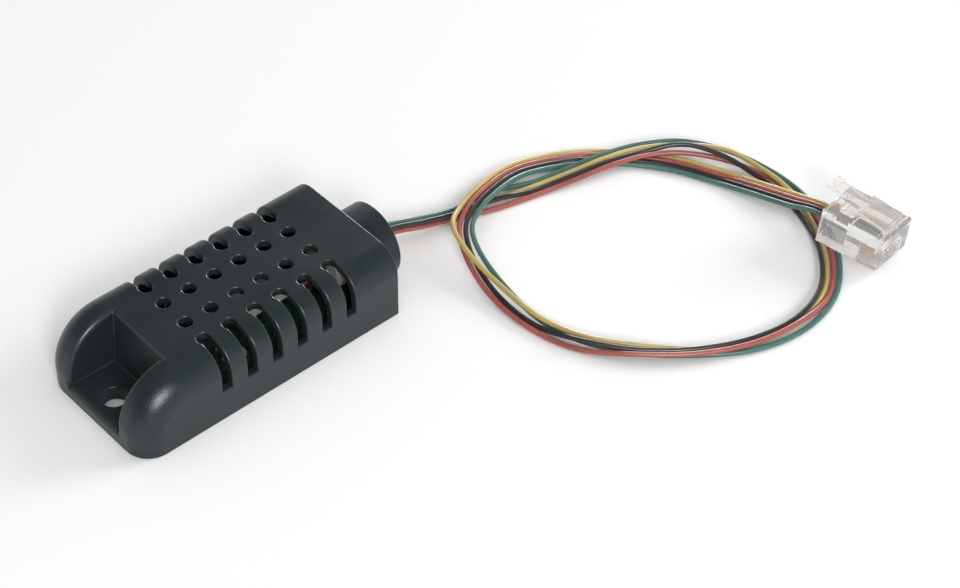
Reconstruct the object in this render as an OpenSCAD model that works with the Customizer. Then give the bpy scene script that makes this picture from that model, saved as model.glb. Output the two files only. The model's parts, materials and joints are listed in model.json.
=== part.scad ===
// Temperature and humidity sensor in a vented case, on four loose wires that end in a clear modular plug.
// Millimetres, +Z up. X runs along the case towards the wires, Y across it.
// The origin is on the table, under the middle of the case and its cable boss.

/* [Case] */
// Length of the case without the cable boss
case_l = 52.7; // [48:0.1:60]
// Width of the case
case_w = 26.7; // [25:0.1:32]
// Height of the case
case_h = 13.5; // [12.8:0.1:16]
// Radius of the long top edges and of the front corners
edge_r = 4.6; // [3.5:0.1:5]
// Radius of the front where it curves up to the top
front_r = 9.8; // [8.5:0.1:10]
// Wall of the shell
wall = 1.6; // [1.2:0.1:1.9]

/* [Cable boss] */
// Length of the round boss behind the case
boss_l = 6.1; // [3:0.1:10]
// Radius of the boss
boss_r = 6.85; // [5:0.05:8]
// Height of the middle of the boss above the table
boss_z = 4.5; // [4.4:0.1:5]
// Diameter of the bore through the boss
boss_bore = 5.2; // [4:0.1:6]

/* [Screw recess] */
// Length of the recess from the front of the case
recess_l = 10; // [9.5:0.1:12]
// Width of the recess
recess_w = 13.4; // [11:0.1:15]
// Lean of the wall behind the recess, from its top down to the tab
recess_lean = 0.9; // [0.1:0.1:1.5]
// Thickness of the screw tab under the recess
tab_t = 2.9; // [2:0.1:3.4]
// Diameter of the screw hole
screw_d = 4.3; // [3:0.1:5]
// Distance of the screw hole from the front of the case
screw_x = 4.2; // [3.5:0.1:6]
// Radius of the rounded front lip of the tab
lip_r = 1.2; // [0.5:0.1:1.6]

/* [Vents] */
// Diameter of the round vents
vent_d = 2.4; // [1.6:0.1:3]
// Rows of vents along the case
vent_rows = 6; // [3:1:6]
// Distance between the rows
vent_pitch = 5.1; // [4:0.1:5.2]
// Distance of the first row from the rear of the case
vent_x = 10; // [8:0.1:11]
// Distance of the inner round vents from the middle line
vent_y = 2.9; // [2:0.1:3.5]
// Distance of the slots' round heads from the middle line
slot_y = 7.7; // [7:0.1:8]
// Width of the slots that run over the edge
slot_w = 1.9; // [1.2:0.1:2.2]
// Height of the lower ends of the slots above the table
slot_z = 6; // [5:0.1:8]

/* [Base cover] */
// Thickness of the base cover
cover_t = 1.6; // [1.2:0.1:1.8]
// Width of the ledge that the cover seats on
ledge = 0.7; // [0.4:0.05:0.9]
// Height of the posts between the cover and the board
post_h = 0.8; // [0.5:0.05:1]
// Diameter of the posts
post_d = 3.4; // [2.8:0.1:4]
// Diameter of the pegs that go through the board
peg_d = 1.6; // [1.2:0.1:2]
// Height of the pegs above the board
peg_h = 0.8; // [0.4:0.1:1.2]
// Gap of a fit between two pieces, on each side
fit_gap = 0.1; // [0.05:0.01:0.15]

/* [Circuit board] */
// Length of the board
board_l = 30; // [28:0.1:31]
// Width of the board
board_w = 20; // [19:0.1:21]
// Thickness of the board
board_t = 1.2; // [0.8:0.1:1.4]
// Distance of the board from the wall behind the recess
board_x = 1.5; // [0.5:0.1:2]
// Distance of the pegs from the board's edges
peg_inset = 2.4; // [2:0.1:2.6]

/* [Humidity element] */
// Length of the element's frame
frame_l = 12; // [10:0.1:12.5]
// Width of the element's frame
frame_w = 9; // [8:0.1:9.4]
// Thickness of the element's frame
frame_t = 2; // [1.5:0.1:2.4]
// Width of the rim around the sensing plate
frame_rim = 1.2; // [0.8:0.1:1.6]
// Depth of the seat that holds the sensing plate
plate_seat = 1; // [0.6:0.1:1.2]
// Thickness of the sensing plate
plate_t = 0.6; // [0.4:0.05:0.8]
// Height of the legs under the frame
leg_h = 1.4; // [1:0.1:1.8]
// Diameter of the legs
leg_d = 0.6; // [0.5:0.05:0.8]
// Number of legs
leg_count = 4; // [2:1:4]
// Distance between the legs
leg_pitch = 2.54; // [2:0.01:2.6]
// Distance of the frame's middle from the front end of the board
frame_x = 20.4; // [20.2:0.1:21]
// Distance of the frame's middle from the board's middle line
frame_y = 2.4; // [2:0.1:2.6]

/* [Thermistor] */
// Diameter of the thermistor bead
bead_d = 2.4; // [1.8:0.1:2.6]
// Height of the bead's middle above the board
bead_z = 3.4; // [3:0.1:4]
// Diameter of the two leads
lead_d = 0.5; // [0.4:0.05:0.6]
// Distance between the leads
lead_pitch = 1.2; // [1:0.05:1.4]
// Distance of the bead from the front end of the board
bead_x = 8; // [7.4:0.1:8.4]
// Distance of the bead from the board's middle line
bead_y = 7; // [6.8:0.1:7.4]

/* [Controller and small parts] */
// Length of the microcontroller
chip_l = 8.6; // [7:0.1:8.8]
// Width of the microcontroller's body
chip_w = 3.9; // [3.4:0.1:4.2]
// Thickness of the microcontroller's body
chip_t = 1.5; // [1.2:0.05:1.8]
// Gap under the microcontroller's body
chip_lift = 0.15; // [0.1:0.01:0.25]
// Pins on each side of the microcontroller
pin_count = 7; // [4:1:7]
// Distance between the pins
pin_pitch = 1.27; // [1:0.01:1.3]
// Width of a pin
pin_w = 0.42; // [0.3:0.01:0.5]
// Reach of a pin past the body
pin_reach = 1.05; // [0.8:0.05:1.2]
// Thickness of a pin
pin_t = 0.22; // [0.15:0.01:0.3]
// Distance of the microcontroller from the front end of the board
chip_x = 8; // [7.6:0.1:8.4]
// Distance of the microcontroller from the board's middle line
chip_y = 0.6; // [0.4:0.1:0.9]
// Length of a chip capacitor
cap_l = 2; // [1.6:0.1:2.2]
// Width of a chip capacitor
cap_w = 1.25; // [1:0.05:1.4]
// Thickness of a chip capacitor
cap_t = 1.1; // [0.7:0.1:1.3]
// Length of a chip resistor
res_l = 1.6; // [1.4:0.1:1.8]
// Width of a chip resistor
res_w = 0.8; // [0.6:0.05:1]
// Thickness of a chip resistor
res_t = 0.45; // [0.3:0.05:0.6]
// Chip capacitors, and as many chip resistors behind them
small_count = 3; // [1:1:3]
// Distance between the small parts in a row
small_pitch = 3; // [2.6:0.1:3.2]
// Distance of the row of small parts from the board's middle line
small_y = 6.6; // [6.2:0.1:7]

/* [Wires] */
// Diameter of each wire
wire_d = 1; // [0.8:0.05:1.05]
// Gap between wires that lie side by side
wire_gap = 0.1; // [0.05:0.01:0.2]
// Gap around a wire in the seal
seal_gap = 0.06; // [0.03:0.01:0.1]
// Distance between the wires where they pass the seal
seal_pitch = 1.5; // [1.4:0.05:1.6]
// Radius of the seal's collar inside the case
collar_r = 4.2; // [3.4:0.1:4.6]
// Length of the seal's collar
collar_l = 4; // [3:0.1:4.4]
// Distance between the solder joints
pad_pitch = 1.8; // [1.6:0.1:2.2]
// Radius of a solder joint at the board
solder_r = 0.8; // [0.6:0.05:0.85]
// Height of a solder joint
solder_h = 0.9; // [0.6:0.1:1.2]
// Distance of the solder joints from the rear end of the board
pad_x = 2; // [1.6:0.1:2.4]

/* [Plug] */
// Length of the plug housing
plug_l = 12.3; // [12:0.1:14]
// Width of the plug housing
plug_w = 9.65; // [9.2:0.05:10]
// Height of the plug housing
plug_h = 6.6; // [6.4:0.1:7.2]
// Chamfer on the plug's nose
nose_c = 0.4; // [0.2:0.1:0.6]
// Distance between the contacts
contact_pitch = 1.02; // [1.02:0.01:1.1]
// Contact slots in the housing
slot_count = 6; // [4:2:6]
// Thickness of a contact
contact_t = 0.35; // [0.25:0.05:0.4]
// Length of a contact
contact_l = 2.9; // [2.4:0.1:3.2]
// Height of the row of wires above the bottom of the plug
row_z = 2.9; // [2.6:0.1:3.2]
// Distance of the ends of the wires from the plug's nose
row_stop = 1.7; // [1.5:0.1:2]
// Recess of the contacts above the bottom of the plug
contact_rise = 0.4; // [0.2:0.05:0.6]
// Depth of the wide wire entry
entry_l = 5; // [4:0.1:5.4]
// Width of the wire entry
entry_w = 6.9; // [6.4:0.1:7.4]
// Height of the wire entry
entry_h = 3.4; // [3:0.1:3.8]
// Length of the strain relief window on top
window_l = 2.6; // [2:0.1:3]
// Width of the strain relief window
window_w = 4.2; // [3.6:0.1:5]
// Distance of the window from the rear of the plug
window_x = 2; // [1.6:0.1:2.2]

/* [Latch] */
// Length of the latch from its hinge
latch_l = 12.8; // [11:0.1:13.5]
// Thickness of the latch
latch_t = 0.8; // [0.6:0.05:1]
// Width of the latch at its shoulders
shoulder_w = 6.2; // [5.6:0.1:6.6]
// Length of the wide part of the latch
shoulder_l = 6; // [5.4:0.1:6.6]
// Width of the latch's tongue
tongue_w = 3.25; // [2.8:0.05:3.6]
// Height of the thumb rib at the end of the tongue
rib_h = 0.5; // [0.3:0.1:0.8]
// Length of the thumb rib
rib_l = 1.4; // [1:0.1:2]
// Radius of the round root that the latch turns on
root_r = 0.5; // [0.45:0.05:0.6]
// Height of the hinge line above the top of the plug
root_z = 0.3; // [0.25:0.01:0.35]
// Distance of the hinge line from the plug's nose
root_x = 1.2; // [1.2:0.1:1.6]
// Angle of the latch above the plug at rest
latch_angle = 9; // [9:0.5:14]

/* [Hidden] */

$fn = 48;
// How far a cut runs past the face that it opens
over = 1;

// Ends of the case and of the boss along X
x_front = -(case_l + boss_l) / 2;
x_rear = x_front + case_l;
x_boss = x_rear + boss_l;
// Front end and rear end of the space inside the shell
x_inner = x_front + recess_l + wall;
x_back = x_rear - wall;
inner_w = case_w - 2 * wall;
inner_h = case_h - wall;
inner_r = edge_r - wall;
// Width of the block that the recess and its walls take out of the space inside
recess_block = recess_w + 2 * wall;

// Board and what stands on it
board_z = cover_t + post_h;
board_top = board_z + board_t;
x_board = x_inner + board_x;
peg_places = [for (x = [peg_inset, board_l - peg_inset], y = [-1, 1])
    [x_board + x, y * (board_w / 2 - peg_inset)]];

// Wires: their number, distance between neighbours, and the lower layer of the bundle in the boss
wire_count = 4;
wire_pitch = wire_d + wire_gap;
low_z = boss_z - seal_pitch / 2;
seal_r = boss_bore / 2 - fit_gap / 2;
x_collar = x_back - collar_l;
// Where a wire starts to bend ahead of the seal, and its share of the way to its solder joint there
seal_lead = 2.4;
lead_share = 0.2;
x_pad = x_board + board_l - pad_x;
// Height of a wire's end above the board
wire_rise = 0.8;

// Plug: where its rear bottom edge lies, its turn, pitch and roll on the table
plug_at = [92.4, -47.5, 1.25];
plug_turn = [-8, 1.5, -80];
root_at = [plug_l - root_x, plug_h + root_z];
row_end = plug_l - row_stop;
slot_back = row_end - contact_l - fit_gap;

// Route of the bundle from the boss round the loop to the plug, with the height of its lower layer
bundle_route = [
    [33, 0, 3.8], [39, -1, 2.3], [46, -2, 0.8], [53.5, -3.6, 0.65], [61.5, -5.6, 0.65], [69, -7.8, 1.4],
    [75.5, -9.5, 1.9], [82, -11.7, 1.9], [88, -15.8, 1.9], [92.3, -22, 1.3], [94.6, -29, 0.65],
    [94.6, -36.5, 0.65], [92, -45, 0.65], [87, -52.6, 0.65], [80, -58, 0.65], [71.5, -59.7, 0.65],
    [62.5, -57.7, 0.65], [54, -52.9, 0.65], [46.5, -46.6, 0.65], [41, -38.8, 0.65], [38.6, -30.5, 0.65],
    [38.4, -22, 1.2], [39.6, -14, 2.6], [42.6, -7.6, 3.4], [47.6, -4.2, 3.5], [54, -2, 2.9],
    [61, -0.8, 1.8], [68, -2, 0.7], [74.5, -5.8, 0.65], [80.3, -11.4, 0.65], [84.9, -17.8, 0.65],
    [88.2, -25, 0.65], [90.4, -32.5, 1.5], [91.7, -39.5, 2.8],
];
// Lane of each wire across the bundle, left of the route positive, as pairs of route point and lane
green_lanes = [[2, 0.5], [3, 1.5], [16, 1.5], [21, -1.5]];
yellow_lanes = [[9, 0.5], [11, -0.5], [21, -0.5], [23, 1.5]];
black_lanes = [[8, -0.5], [10, -1.5], [13, -1.5], [17, 0.5], [21, 0.5], [23, -0.5]];
red_lanes = [[2, -0.5], [3, -1.5], [8, -1.5], [11, 0.5], [15, 0.5], [17, 1.5], [21, 1.5], [23, 0.5]];
// Layer of each wire above the route, as pairs of route point and layer
green_layers = [[3, 1], [4, 0]];
yellow_layers = [[8, 0], [9, 1], [11, 1], [12, 0], [17, 0], [18, 1], [23, 1], [24, 0]];
black_layers = [[3, 1], [4, 0], [7, 0], [8, 1], [9, 1], [11, 0], [12, 0], [13, 1], [19, 1], [20, 0]];
red_layers = [[14, 0], [15, 1], [18, 1], [19, 0]];
// Sides of a wire's tube, and rings for each stretch of its route
wire_sides = 8;
wire_steps = 2;
// Where a wire turns level inside the plug, ahead of its rear and behind it
plug_lead = 3;

function unit(v) = v / norm(v);

// Place of number i of a row of n, counted in steps from the row's middle
function middled(i, n) = i - (n - 1) / 2;

// Point on a smooth curve through p[i] and p[i + 1]
function curve_point(p, i, t) =
    let (last = len(p) - 1, a = p[max(i - 1, 0)], b = p[i], c = p[min(i + 1, last)], d = p[min(i + 2, last)])
    b + t * (c - a) / 2 + t * t * (a - 5 * b / 2 + 2 * c - d / 2) + t * t * t * (3 * b - a - 3 * c + d) / 2;

function smooth_path(p, steps) = concat(
    [for (i = [0:len(p) - 2], s = [0:steps - 1]) curve_point(p, i, s / steps)], [p[len(p) - 1]]);

// Direction of a path at point i
function path_dir(p, i) = unit(p[min(i + 1, len(p) - 1)] - p[max(i - 1, 0)]);

// Level direction to the left of a path at point i
function left_dir(p, i) = let (d = path_dir(p, i)) unit([-d[1], d[0], 0]);

// A point given in the plug's own frame, x to its nose and z to its latch
function in_plug_frame(v) =
    let (
        a = [v[0], v[1] * cos(plug_turn[0]) - v[2] * sin(plug_turn[0]),
            v[1] * sin(plug_turn[0]) + v[2] * cos(plug_turn[0])],
        b = [a[0] * cos(plug_turn[1]) + a[2] * sin(plug_turn[1]), a[1],
            a[2] * cos(plug_turn[1]) - a[0] * sin(plug_turn[1])]
    )
    plug_at + [b[0] * cos(plug_turn[2]) - b[1] * sin(plug_turn[2]),
        b[0] * sin(plug_turn[2]) + b[1] * cos(plug_turn[2]), b[2]];

// Route of one wire from its solder joint through the seal, round the loop and into the plug's row
function wire_route(pad, lanes, layers, row) =
    let (
        y = lookup(0, lanes) * seal_pitch,
        z = low_z + lookup(0, layers) * seal_pitch,
        foot = [x_pad + solder_r + seal_gap, middled(pad, wire_count) * pad_pitch, board_top + wire_rise]
    )
    concat(
        [foot, [x_collar - seal_lead, y + lead_share * (foot[1] - y), z + lead_share * (foot[2] - z)]],
        [for (x = [x_collar, x_rear, x_boss]) [x, y, z]],
        [for (i = [0:len(bundle_route) - 1])
            bundle_route[i] + left_dir(bundle_route, i) * lookup(i, lanes) * wire_pitch
                + [0, 0, lookup(i, layers) * wire_pitch]],
        [for (x = [-plug_lead, plug_lead, row_end])
            in_plug_frame([x, middled(row, wire_count) * contact_pitch, row_z])]);

// Round tube along a path, as one closed body
module tube(path, r, sides) {
    last = len(path) - 1;
    points = [for (i = [0:last], k = [0:sides - 1])
        let (side = left_dir(path, i), up = cross(path_dir(path, i), side), a = (k + 0.5) * 360 / sides)
        path[i] + r * (cos(a) * side + sin(a) * up)];
    walls = [for (i = [0:last - 1], k = [0:sides - 1], half = [0, 1])
        let (n = (k + 1) % sides, a = i * sides, b = a + sides)
        half == 0 ? [a + k, b + k, b + n] : [a + k, b + n, a + n]];
    caps = [for (k = [1:sides - 2], end = [0, 1])
        let (a = last * sides)
        end == 0 ? [0, k, k + 1] : [a, a + k + 1, a + k]];
    polyhedron(points, concat(walls, caps));
}

module wire(pad, lanes, layers, row) {
    tube(smooth_path(wire_route(pad, lanes, layers, row), wire_steps), wire_d / 2, wire_sides);
}

// Section of the case, standing on its lower edge, with both upper corners rounded
module case_section(w, h, r) {
    translate([-w / 2, 0]) square([w, h - r]);
    translate([r - w / 2, 0]) square([w - 2 * r, h]);
    for (s = [-1, 1]) {
        translate([s * (w / 2 - r), h - r]) circle(r);
    }
}

// Straight run of the case between two places along X
module case_run(w, h, r, x0, x1) {
    translate([x0, 0, 0]) rotate([90, 0, 90]) linear_extrude(x1 - x0) case_section(w, h, r);
}

// Rounded front of the case, a quarter turn of its section about a cross line
module case_front(w, fr, r) {
    translate([x_front + front_r, 0, case_h - front_r]) rotate([90, 0, 0]) rotate([0, 0, 90])
        rotate_extrude(angle = 90) rotate([0, 0, -90]) case_section(w, fr, r);
}

module case_outside() {
    case_run(case_w, case_h, edge_r, x_front + front_r, x_rear);
    case_front(case_w, front_r, edge_r);
    translate([x_front + front_r, 0, 0])
        linear_extrude(case_h - front_r) rotate([0, 0, 90]) case_section(case_w, front_r, edge_r);
}

// Block that the recess and its walls take out of the space inside
module recess_walls() {
    translate([x_front - over, -recess_block / 2, 0])
        cube([recess_l + wall + 2 * over, recess_block, case_h + over]);
}

// The screw recess, open in front and above, with the leaning wall behind it
module recess() {
    translate([x_front - over, recess_w / 2, 0]) rotate([90, 0, 0]) linear_extrude(recess_w)
        polygon([[0, tab_t], [over + recess_l - recess_lean, tab_t], [over + recess_l, case_h],
            [over + recess_l, case_h + over], [0, case_h + over]]);
}

// Space inside the shell: the main room, open below, and the two hollow lobes beside the recess
module case_inside() {
    case_run(inner_w, inner_h, inner_r, x_inner, x_back);
    translate([x_inner, -inner_w / 2, -over]) cube([x_back - x_inner, inner_w, over + wall]);
    difference() {
        union() {
            case_front(inner_w, front_r - wall, inner_r);
            intersection() {
                case_run(inner_w, inner_h, inner_r, x_front + front_r, x_inner);
                translate([x_front, -case_w / 2, case_h - front_r]) cube([case_l, case_w, front_r]);
            }
        }
        recess_walls();
    }
}

module vent_cuts() {
    for (i = [0:vent_rows - 1], side = [-1, 1]) {
        translate([x_rear - vent_x - i * vent_pitch, 0, 0]) {
            translate([0, side * vent_y, inner_h - over]) cylinder(h = wall + 2 * over, d = vent_d);
            translate([0, side * slot_y, inner_h - over]) cylinder(h = wall + 2 * over, d = vent_d);
            translate([-slot_w / 2, side > 0 ? slot_y : -case_w / 2 - over, slot_z])
                cube([slot_w, case_w / 2 + over - slot_y, case_h + over - slot_z]);
        }
    }
}

// Rounds the upper front edge of the screw tab
module lip_cut() {
    difference() {
        translate([x_front - over, -recess_w / 2, tab_t - lip_r])
            cube([lip_r + over, recess_w, lip_r + over]);
        translate([x_front + lip_r, 0, tab_t - lip_r])
            rotate([90, 0, 0]) cylinder(h = recess_w + 2 * over, r = lip_r, center = true);
    }
}

// Plate of the base cover, or with a grown edge the seat that is cut for it
module cover_plate(grow, z0, t) {
    translate([x_inner - ledge - grow, -inner_w / 2 - ledge - grow, z0])
        cube([x_back - x_inner + 2 * (ledge + grow), inner_w + 2 * (ledge + grow), t]);
}

// The case in one piece, with its openings cut
module case_walls() {
    difference() {
        union() {
            case_outside();
            intersection() {
                translate([x_rear, 0, boss_z]) rotate([0, 90, 0]) cylinder(h = boss_l, r = boss_r);
                translate([x_rear, -boss_r, 0]) cube([boss_l, 2 * boss_r, case_h]);
            }
        }
        case_inside();
        cover_plate(fit_gap, -over, over + cover_t);
        recess();
        lip_cut();
        translate([x_front + screw_x, 0, -over]) cylinder(h = tab_t + 2 * over, d = screw_d);
        vent_cuts();
        translate([x_back - over, 0, boss_z])
            rotate([0, 90, 0]) cylinder(h = boss_l + wall + 2 * over, d = boss_bore);
    }
}

// Stretch of the case between two places along X
module case_stretch(x0, x1) {
    color("#33383b") intersection() {
        case_walls();
        translate([x0, -case_w, -over]) cube([x1 - x0, 2 * case_w, case_h + 2 * over]);
    }
}

module upper_shell() {
    case_stretch(x_inner, x_boss + over);
}

module mounting_end() {
    case_stretch(x_front - over, x_inner);
}

module base_cover() {
    color("#2c3033") {
        cover_plate(0, 0, cover_t);
        for (p = peg_places) {
            translate([p[0], p[1], cover_t]) cylinder(h = post_h, d = post_d);
            translate([p[0], p[1], board_z]) cylinder(h = board_t + peg_h, d = peg_d);
        }
    }
}

module circuit_board() {
    color("#1f5a3a") difference() {
        translate([x_board, -board_w / 2, board_z]) cube([board_l, board_w, board_t]);
        for (p = peg_places) {
            translate([p[0], p[1], board_z - over])
                cylinder(h = board_t + 2 * over, d = peg_d + 2 * fit_gap);
        }
    }
}

// Places what belongs to the humidity element, from its middle on the board
module at_frame(z) {
    translate([x_board + frame_x, frame_y, board_top + z]) children();
}

module humidity_frame() {
    color("#e9e2cf") at_frame(leg_h) difference() {
        translate([-frame_l / 2, -frame_w / 2, 0]) cube([frame_l, frame_w, frame_t]);
        translate([-frame_l / 2 + frame_rim, -frame_w / 2 + frame_rim, frame_t - plate_seat])
            cube([frame_l - 2 * frame_rim, frame_w - 2 * frame_rim, plate_seat + over]);
    }
}

module sensing_plate() {
    edge = frame_rim + fit_gap;
    color("#cdbf9a") at_frame(leg_h + frame_t - plate_seat)
        translate([-frame_l / 2 + edge, -frame_w / 2 + edge, 0])
            cube([frame_l - 2 * edge, frame_w - 2 * edge, plate_t]);
}

module humidity_legs() {
    color("#c9ccd0") for (i = [0:leg_count - 1]) {
        at_frame(0) translate([0, middled(i, leg_count) * leg_pitch, 0]) cylinder(h = leg_h, d = leg_d);
    }
}

// Places what belongs to the thermistor, from the foot between its leads
module at_bead(z) {
    translate([x_board + bead_x, bead_y, board_top + z]) children();
}

module thermistor_bead() {
    color("#26221f") at_bead(bead_z) sphere(d = bead_d);
}

module thermistor_leads() {
    reach = bead_z - sqrt(pow(bead_d, 2) - pow(lead_pitch - lead_d, 2)) / 2;
    color("#c9ccd0") for (s = [-1, 1]) {
        at_bead(0) translate([s * lead_pitch / 2, 0, 0]) cylinder(h = reach - fit_gap, d = lead_d);
    }
}

// Places what belongs to the microcontroller, from its middle on the board
module at_chip() {
    translate([x_board + chip_x, -chip_y, board_top]) children();
}

module microcontroller() {
    color("#222426") at_chip()
        translate([-chip_l / 2, -chip_w / 2, chip_lift]) cube([chip_l, chip_w, chip_t]);
}

// One bent pin: a foot on the board, a riser and a shelf that meets the chip's side
module chip_pin() {
    shelf_z = chip_lift + chip_t / 2;
    riser_y = chip_w / 2 + pin_reach / 2 - pin_t;
    translate([-pin_w / 2, chip_w / 2, shelf_z - pin_t / 2]) cube([pin_w, pin_reach / 2, pin_t]);
    translate([-pin_w / 2, riser_y, 0]) cube([pin_w, pin_t, shelf_z + pin_t / 2]);
    translate([-pin_w / 2, riser_y, 0]) cube([pin_w, pin_reach / 2 + pin_t, pin_t]);
}

module microcontroller_pins() {
    color("#c9ccd0") at_chip() for (i = [0:pin_count - 1], turn = [0, 180]) {
        rotate([0, 0, turn]) translate([middled(i, pin_count) * pin_pitch, 0, 0]) chip_pin();
    }
}

// Row of small blocks along the board, from the place with number first
module small_row(first, size) {
    for (i = [first:first + small_count - 1]) {
        translate([x_board + peg_inset + post_d + i * small_pitch, -small_y, board_top])
            translate([-size[0] / 2, -size[1] / 2, 0]) cube(size);
    }
}

module chip_capacitors() {
    color("#b9a27c") small_row(0, [cap_l, cap_w, cap_t]);
}

module chip_resistors() {
    color("#1d1d1f") small_row(small_count, [res_l, res_w, res_t]);
}

module solder_joints() {
    color("#b8bcc2") for (i = [0:wire_count - 1]) {
        translate([x_pad, middled(i, wire_count) * pad_pitch, board_top])
            cylinder(h = solder_h, r1 = solder_r, r2 = solder_r / 2);
    }
}

// Seal that fills the bore of the boss, with a collar behind the rear wall
module wire_seal() {
    color("#d8d2c2") difference() {
        union() {
            translate([x_back, 0, boss_z]) rotate([0, 90, 0]) cylinder(h = wall + boss_l, r = seal_r);
            intersection() {
                translate([x_collar, 0, boss_z]) rotate([0, 90, 0]) cylinder(h = collar_l, r = collar_r);
                translate([x_collar, -collar_r, cover_t + fit_gap]) cube([collar_l, 2 * collar_r, case_h]);
            }
        }
        for (y = [-1, 1], layer = [0, 1]) {
            translate([x_collar - over, y * seal_pitch / 2, low_z + layer * seal_pitch])
                rotate([0, 90, 0]) cylinder(h = x_boss - x_collar + 2 * over, r = wire_d / 2 + seal_gap);
        }
    }
}

module green_wire() {
    color("#3f6f5f") wire(3, green_lanes, green_layers, 0);
}

module yellow_wire() {
    color("#d7be5f") wire(2, yellow_lanes, yellow_layers, 3);
}

module black_wire() {
    color("#3c3232") wire(0, black_lanes, black_layers, 1);
}

module red_wire() {
    color("#c8504b") wire(1, red_lanes, red_layers, 2);
}

// Places what belongs to the plug, in its own frame
module in_plug() {
    translate(plug_at) rotate(plug_turn) children();
}

// Block across the plug, from x0, z0, with its length and height
module plug_block(x0, z0, l, w, h) {
    translate([x0, -w / 2, z0]) cube([l, w, h]);
}

// Upright slots or blades side by side across the plug
module plug_blades(count, x0, z0, l, t, h) {
    for (i = [0:count - 1]) {
        translate([0, middled(i, count) * contact_pitch, 0]) plug_block(x0, z0, l, t, h);
    }
}

module plug_housing() {
    channel_h = wire_d + 2 * seal_gap;
    channel_w = slot_count * contact_pitch + 2 * seal_gap;
    color("#dfe6e8") in_plug() difference() {
        translate([0, plug_w / 2, 0]) rotate([90, 0, 0]) linear_extrude(plug_w) polygon([
            [0, 0], [plug_l - nose_c, 0], [plug_l, nose_c], [plug_l, plug_h - nose_c],
            [plug_l - nose_c, plug_h], [0, plug_h],
        ]);
        plug_block(-over, row_z - entry_h / 2, entry_l + over, entry_w, entry_h);
        plug_block(0, row_z - channel_h / 2, row_end + fit_gap, channel_w, channel_h);
        plug_blades(slot_count, slot_back, -over, plug_l, contact_t + 2 * fit_gap, row_z + over);
        plug_block(window_x, row_z, window_l, window_w, plug_h);
        translate([root_at[0], 0, root_at[1]])
            rotate([90, 0, 0]) cylinder(h = plug_w + 2 * over, r = root_r + fit_gap / 2, center = true);
    }
}

module plug_contacts() {
    h = row_z - wire_d / 2 - seal_gap - contact_rise;
    color("#d0a94a") in_plug()
        plug_blades(wire_count, slot_back + fit_gap, contact_rise, contact_l, contact_t, h);
}

module plug_latch() {
    under = root_z - fit_gap / 2;
    color("#e4eaec") in_plug() translate([root_at[0], 0, root_at[1]]) rotate([0, latch_angle, 0]) {
        rotate([90, 0, 0]) cylinder(h = shoulder_w, r = root_r, center = true);
        plug_block(-shoulder_l, -under, shoulder_l, shoulder_w, latch_t);
        plug_block(-latch_l, -under, latch_l, tongue_w, latch_t);
        plug_block(-latch_l, -under, rib_l, tongue_w, latch_t + rib_h);
    }
}

upper_shell();
mounting_end();
base_cover();
circuit_board();
humidity_frame();
sensing_plate();
humidity_legs();
thermistor_bead();
thermistor_leads();
microcontroller();
microcontroller_pins();
chip_capacitors();
chip_resistors();
solder_joints();
wire_seal();
green_wire();
yellow_wire();
black_wire();
red_wire();
plug_housing();
plug_contacts();
plug_latch();
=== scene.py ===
"""Finishes a temperature and humidity sensor: vented case, loose wires and clear modular plug."""
import json
import math

import bmesh
import bpy
import numpy as np
from bpy.props import FloatProperty, FloatVectorProperty, IntProperty, PointerProperty
from mathutils import Euler, Matrix, Vector
from mathutils.geometry import interpolate_bezier


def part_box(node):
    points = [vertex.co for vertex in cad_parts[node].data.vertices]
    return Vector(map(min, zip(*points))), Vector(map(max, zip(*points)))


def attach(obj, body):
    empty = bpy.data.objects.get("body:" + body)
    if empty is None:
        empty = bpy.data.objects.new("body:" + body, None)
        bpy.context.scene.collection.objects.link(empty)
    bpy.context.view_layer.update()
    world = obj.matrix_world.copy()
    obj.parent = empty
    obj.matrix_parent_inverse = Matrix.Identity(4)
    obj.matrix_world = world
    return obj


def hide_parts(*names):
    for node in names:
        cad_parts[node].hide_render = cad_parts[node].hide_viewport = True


bl_info = {
    "name": "Vented climate sensor",
    "version": (1, 0, 0),
    "blender": (4, 5, 0),
    "location": "View3D > Sidebar > Sensor",
    "description": "Finishes a temperature and humidity sensor with its wires and plug",
    "category": "Object",
}

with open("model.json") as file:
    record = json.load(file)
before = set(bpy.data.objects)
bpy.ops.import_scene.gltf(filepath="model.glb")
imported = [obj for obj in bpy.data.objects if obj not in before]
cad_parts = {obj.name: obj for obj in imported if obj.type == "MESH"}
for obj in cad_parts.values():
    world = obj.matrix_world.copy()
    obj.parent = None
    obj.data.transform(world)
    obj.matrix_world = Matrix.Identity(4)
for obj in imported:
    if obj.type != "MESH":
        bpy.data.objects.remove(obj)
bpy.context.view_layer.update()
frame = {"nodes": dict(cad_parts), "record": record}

MM = 0.001
SENSOR = "sensor"
LATCH = "latch"

# Width in pixels of the image that the camera is set for
IMAGE_WIDTH = 960
# Level direction from the object towards the front of the studio
FRONT = (-0.807, -0.59, 0.0)
# Where the white that a gloss meets starts and ends to fade, upwards and towards the front
OVERHEAD_FADE = (0.1, 0.55)
FRONT_FADE = (0.2, 0.8)

# Distances at which points are merged, in the copy of a CAD node and in a new shape
CAD_MERGE = 0.002 * MM
MERGE = 0.001 * MM
# Most turn between faces that are joined into one, and least turn of an edge that gets rounded
LEVEL_TURN = math.radians(0.5)
EDGE_TURN = math.radians(30)
# Least turn that stays crisp, inside a rounding and elsewhere
ROUND_CRISP = math.radians(35)
FLAT_CRISP = math.radians(20)
# Steps of a rounding: inner corners of the recess, its rim, the vents, the rest of the case, other pieces
CORNER_STEPS = 3
RIM_STEPS = 6
VENT_STEPS = 4
CASE_STEPS = 3
EDGE_STEPS = 2
# Steps of a turned body
SPIN_STEPS = 24

# Place along the case where its two nodes meet behind the recess, and how near a point counts as on it
SEAM_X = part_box("mounting_end")[1][0]
ON_SEAM = 0.015 * MM
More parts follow.
